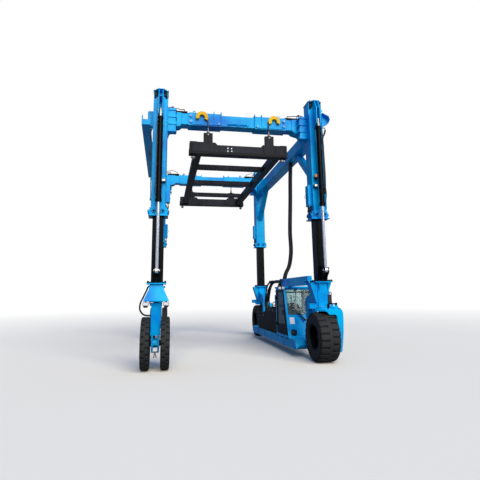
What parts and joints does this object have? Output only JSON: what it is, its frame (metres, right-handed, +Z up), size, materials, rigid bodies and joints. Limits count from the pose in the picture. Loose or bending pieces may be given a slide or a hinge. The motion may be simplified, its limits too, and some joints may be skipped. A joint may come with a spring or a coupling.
{
  "type": "rubber tyred gantry crane",
  "caption": "Rubber tyred gantry crane: four telescopic legs on steered wheels lift a frame with a side shifting container spreader, cab between the right legs.",
  "frame": {"origin": "on the ground in the middle between the four wheel sets", "axes": "+X to the side with the cab, +Y lengthways away from the front opening of the bay, +Z up"},
  "size_m": [4.691, 7.32, 6.404],
  "materials": {
    "azure_paint": "gloss",
    "black_paint": "satin",
    "chrome_rod": "polished",
    "grey_paint": "satin",
    "yellow_paint": "gloss",
    "tyre_rubber": "matt",
    "wire_rope": "greased",
    "clear_glass": "clear",
    "black_plastic": "matt",
    "bare_steel": "machined"
  },
  "bodies": {
    "chassis": {"right_sill": "azure_paint", "right_columns": "azure_paint", "right_masts": "black_paint", "right_lift_rods": "chrome_rod", "cab_frame": "azure_paint", "cab_glass": "clear_glass", "cab_panels": "azure_paint", "cab_roof": "azure_paint", "operator_seat": "black_plastic", "power_housing": "grey_paint", "power_hoses": "black_plastic"},
    "door": {"cab_door": "black_paint", "door_glass": "clear_glass"},
    "lifting_frame": {"left_sleeves": "azure_paint", "right_sleeves": "azure_paint", "sleeve_caps": "black_paint", "cross_beams": "azure_paint", "top_beams": "azure_paint", "lift_barrels": "black_paint", "lift_barrel_eyes": "bare_steel", "shift_cylinders": "black_paint", "hose_tray": "azure_paint"},
    "spreader": {"carriages": "azure_paint", "shift_rods": "chrome_rod", "rope_guides": "yellow_paint", "hoist_ropes": "wire_rope", "spreader_end_beams": "grey_paint", "spreader_side_beams": "grey_paint", "twist_locks": "bare_steel"},
    "left_front_leg": {"left_front_column": "azure_paint", "left_front_mast": "black_paint", "left_front_lift_rod": "chrome_rod"},
    "left_rear_leg": {"left_rear_column": "azure_paint", "left_rear_mast": "black_paint", "left_rear_lift_rod": "chrome_rod"},
    "front_left_mount": {"fork_front_left": "azure_paint"},
    "rear_left_mount": {"fork_rear_left": "azure_paint"},
    "front_right_mount": {"yoke_front_right": "azure_paint"},
    "rear_right_mount": {"yoke_rear_right": "azure_paint"},
    "front_left_wheels": {"tyres_front_left": "tyre_rubber", "rims_front_left": "black_paint"},
    "rear_left_wheels": {"tyres_rear_left": "tyre_rubber", "rims_rear_left": "black_paint"},
    "front_right_wheel": {"tyre_front_right": "tyre_rubber", "rim_front_right": "black_paint"},
    "rear_right_wheel": {"tyre_rear_right": "tyre_rubber", "rim_rear_right": "black_paint"}
  },
  "joints": [
    {"name": "lift", "type": "slide", "parent": "chassis", "child": "lifting_frame", "axis": [0, 0, 1], "range_m": [-1.05, 0.25]},
    {"name": "left_front_lift", "type": "slide", "parent": "lifting_frame", "child": "left_front_leg", "axis": [0, 0, -1], "range_m": [-1.05, 0.25]},
    {"name": "left_rear_lift", "type": "slide", "parent": "lifting_frame", "child": "left_rear_leg", "axis": [0, 0, -1], "range_m": [-1.05, 0.25]},
    {"name": "side_shift", "type": "slide", "parent": "lifting_frame", "child": "spreader", "axis": [1, 0, 0], "range_m": [-0.13, 0.13]},
    {"name": "cab_door_swing", "type": "hinge", "parent": "chassis", "child": "door", "pos_m": [1.436, -0.774, 1], "axis": [0, 0, 1], "range_deg": [-85, 0]},
    {"name": "steer_front_left", "type": "hinge", "parent": "left_front_leg", "child": "front_left_mount", "pos_m": [-1.92, -3.1, 1.3], "axis": [0, 0, 1], "range_deg": [-35, 35]},
    {"name": "steer_rear_left", "type": "hinge", "parent": "left_rear_leg", "child": "rear_left_mount", "pos_m": [-1.92, 3.1, 1.3], "axis": [0, 0, 1], "range_deg": [-35, 35]},
    {"name": "steer_front_right", "type": "hinge", "parent": "chassis", "child": "front_right_mount", "pos_m": [1.92, -3.1, 1.3], "axis": [0, 0, 1], "range_deg": [-35, 35]},
    {"name": "steer_rear_right", "type": "hinge", "parent": "chassis", "child": "rear_right_mount", "pos_m": [1.92, 3.1, 1.3], "axis": [0, 0, 1], "range_deg": [-35, 35]},
    {"name": "roll_front_left", "type": "hinge", "parent": "front_left_mount", "child": "front_left_wheels", "pos_m": [-1.92, -3.1, 0.55], "axis": [1, 0, 0], "continuous": true},
    {"name": "roll_rear_left", "type": "hinge", "parent": "rear_left_mount", "child": "rear_left_wheels", "pos_m": [-1.92, 3.1, 0.55], "axis": [1, 0, 0], "continuous": true},
    {"name": "roll_front_right", "type": "hinge", "parent": "front_right_mount", "child": "front_right_wheel", "pos_m": [1.92, -3.1, 0.56], "axis": [1, 0, 0], "continuous": true},
    {"name": "roll_rear_right", "type": "hinge", "parent": "rear_right_mount", "child": "rear_right_wheel", "pos_m": [1.92, 3.1, 0.56], "axis": [1, 0, 0], "continuous": true}
  ],
  "couplings": [
    {"joint": "left_front_lift", "follows": "lift", "ratio": 1},
    {"joint": "left_rear_lift", "follows": "lift", "ratio": 1}
  ]
}
